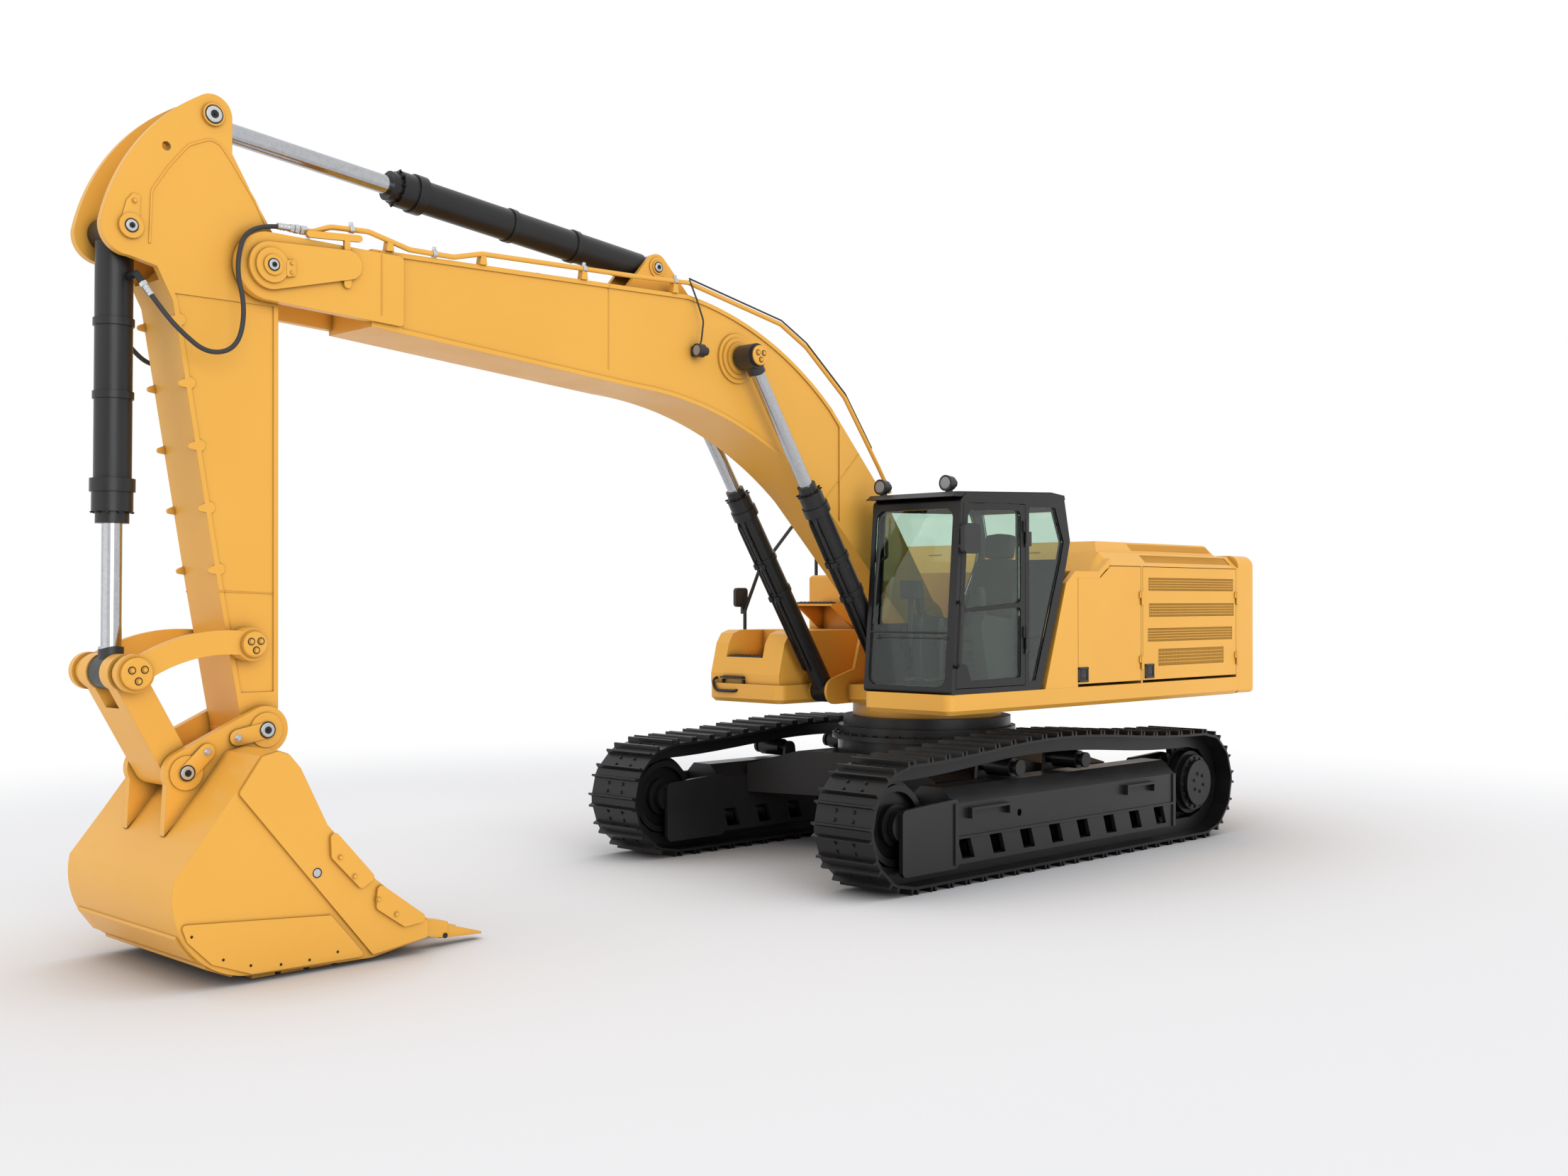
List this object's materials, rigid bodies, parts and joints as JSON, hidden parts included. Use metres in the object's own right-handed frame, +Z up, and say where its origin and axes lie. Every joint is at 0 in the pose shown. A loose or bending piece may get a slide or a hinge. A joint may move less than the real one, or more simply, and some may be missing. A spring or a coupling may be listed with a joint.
{
  "type": "crawler excavator",
  "caption": "Crawler excavator with a cab, a swinging upper structure and a hydraulic boom, stick and bucket, parked with the bucket near the ground.",
  "frame": {"origin": "on the ground under the middle of the parked machine's length and width", "axes": "+X forwards along the boom, +Y to the operator's left, +Z up"},
  "size_m": [11.6219, 3.34, 5.4174],
  "materials": {
    "yellow_paint": "semi-gloss",
    "black_paint": "satin",
    "cab_paint": "satin",
    "track_steel": "satin",
    "rod_chrome": "polished",
    "tinted_glass": "gloss",
    "seat_fabric": "matte",
    "dark_plastic": "matte",
    "hose_rubber": "matte",
    "engine_iron": "matte"
  },
  "bodies": {
    "undercarriage": {"car_body": "black_paint", "swing_bearing": "black_paint", "track_frame_left": "black_paint", "track_frame_right": "black_paint", "track_left": "track_steel", "track_right": "track_steel", "idler_wheels": "track_steel", "drive_sprockets": "track_steel", "bottom_rollers": "track_steel", "carrier_rollers": "track_steel"},
    "upper": {"main_frame": "yellow_paint", "counterweight": "yellow_paint", "engine_house": "yellow_paint", "engine_block": "engine_iron", "fuel_tank": "yellow_paint", "tool_box": "yellow_paint", "cab_shell": "cab_paint", "cab_glass": "tinted_glass", "cab_seat": "seat_fabric", "cab_consoles": "dark_plastic", "handrail": "black_paint", "mirrors": "dark_plastic", "roof_lamps": "dark_plastic"},
    "cab_door": {"cab_door": "cab_paint", "cab_door_glass": "tinted_glass"},
    "left_front_door": {"left_front_door": "yellow_paint"},
    "left_rear_door": {"left_rear_door": "yellow_paint"},
    "right_front_door": {"right_front_door": "yellow_paint"},
    "right_rear_door": {"right_rear_door": "yellow_paint"},
    "engine_hood": {"engine_hood": "yellow_paint"},
    "boom": {"boom": "yellow_paint", "boom_pipes": "yellow_paint", "boom_lamp": "dark_plastic", "stick_hose_left": "hose_rubber", "stick_hose_right": "hose_rubber"},
    "boom_barrels": {"boom_cylinder_barrels": "black_paint"},
    "boom_rods": {"boom_cylinder_rods": "rod_chrome"},
    "stick_barrel": {"stick_cylinder_barrel": "black_paint"},
    "stick_rod": {"stick_cylinder_rod": "rod_chrome"},
    "stick": {"stick": "yellow_paint"},
    "bucket_barrel": {"bucket_cylinder_barrel": "black_paint"},
    "bucket_rod": {"bucket_cylinder_rod": "rod_chrome"},
    "idler_links": {"idler_links": "yellow_paint"},
    "power_link": {"power_link": "yellow_paint"},
    "bucket": {"bucket": "yellow_paint", "bucket_teeth": "yellow_paint"}
  },
  "joints": [
    {"name": "swing", "type": "hinge", "parent": "undercarriage", "child": "upper", "pos_m": [-2.05, 0, 1.215], "axis": [0, 0, 1], "continuous": true},
    {"name": "boom_lift", "type": "hinge", "parent": "upper", "child": "boom", "pos_m": [-1.704, 0, 2.084], "axis": [0, -1, 0], "range_deg": [-60, 40]},
    {"name": "boom_cylinder_swing", "type": "hinge", "parent": "upper", "child": "boom_barrels", "pos_m": [-1.12, 0, 1.455], "axis": [0, -1, 0], "range_deg": [-59.3, 39.7]},
    {"name": "boom_cylinder_extend", "type": "slide", "parent": "boom_barrels", "child": "boom_rods", "axis": [0.5428, 0, 0.8399], "range_m": [-0.7954, 0.5336]},
    {"name": "stick_crowd", "type": "hinge", "parent": "boom", "child": "stick", "pos_m": [4.78, 0, 4.388], "axis": [0, 1, 0], "range_deg": [-85, 30], "deforming": ["stick_hose_left", "stick_hose_right"]},
    {"name": "stick_cylinder_swing", "type": "hinge", "parent": "boom", "child": "stick_barrel", "pos_m": [1.429, 0, 4.88], "axis": [0, 1, 0], "range_deg": [-1.35, 0.8]},
    {"name": "stick_cylinder_extend", "type": "slide", "parent": "stick_barrel", "child": "stick_rod", "axis": [0.994, 0, 0.1096], "range_m": [-1.1968, 0.4289]},
    {"name": "bucket_curl", "type": "hinge", "parent": "stick", "child": "bucket", "pos_m": [4.789, 0, 1.464], "axis": [0, 1, 0], "range_deg": [-65, 94]},
    {"name": "idler_link_swing", "type": "hinge", "parent": "stick", "child": "idler_links", "pos_m": [4.906, 0, 2.006], "axis": [0, 1, 0], "range_deg": [-46, 66.3]},
    {"name": "power_link_swing", "type": "hinge", "parent": "bucket", "child": "power_link", "pos_m": [5.313, 0, 1.232], "axis": [0, 1, 0], "range_deg": [-68.18, 47.3]},
    {"name": "bucket_cylinder_swing", "type": "hinge", "parent": "stick", "child": "bucket_barrel", "pos_m": [5.636, 0, 4.515], "axis": [0, 1, 0], "range_deg": [-2.77, 3.79]},
    {"name": "bucket_cylinder_extend", "type": "slide", "parent": "bucket_barrel", "child": "bucket_rod", "axis": [0.0052, 0, -1], "range_m": [-0.5092, 0.7319]},
    {"name": "cab_door_hinge", "type": "hinge", "parent": "upper", "child": "cab_door", "pos_m": [-1.55275, 1.512, 2.3], "axis": [0, 0, 1], "range_deg": [0, 100]},
    {"name": "left_front_door_hinge", "type": "hinge", "parent": "upper", "child": "left_front_door", "pos_m": [-3.35525, 1.512, 2], "axis": [0, 0, 1], "range_deg": [0, 110]},
    {"name": "left_rear_door_hinge", "type": "hinge", "parent": "upper", "child": "left_rear_door", "pos_m": [-5.09725, 1.512, 2], "axis": [0, 0, 1], "range_deg": [0, 110]},
    {"name": "right_front_door_hinge", "type": "hinge", "parent": "upper", "child": "right_front_door", "pos_m": [-3.35525, -1.512, 2], "axis": [0, 0, -1], "range_deg": [0, 110]},
    {"name": "right_rear_door_hinge", "type": "hinge", "parent": "upper", "child": "right_rear_door", "pos_m": [-5.09725, -1.512, 2], "axis": [0, 0, -1], "range_deg": [0, 110]},
    {"name": "engine_hood_hinge", "type": "hinge", "parent": "upper", "child": "engine_hood", "pos_m": [-2.91275, 0, 2.732], "axis": [0, 1, 0], "range_deg": [0, 65]}
  ],
  "couplings": [
    {"joint": "boom_cylinder_swing", "follows": "boom_lift", "ratio": 0.98},
    {"joint": "boom_cylinder_extend", "follows": "boom_lift", "m_per_rad": 0.75},
    {"joint": "stick_cylinder_swing", "follows": "stick_crowd", "ratio": 0.01},
    {"joint": "stick_cylinder_extend", "follows": "stick_crowd", "m_per_rad": 0.8},
    {"joint": "idler_link_swing", "follows": "bucket_curl", "ratio": 0.7},
    {"joint": "power_link_swing", "follows": "bucket_curl", "ratio": -0.72},
    {"joint": "bucket_cylinder_swing", "follows": "bucket_curl", "ratio": 0.035},
    {"joint": "bucket_cylinder_extend", "follows": "bucket_curl", "m_per_rad": 0.44}
  ]
}
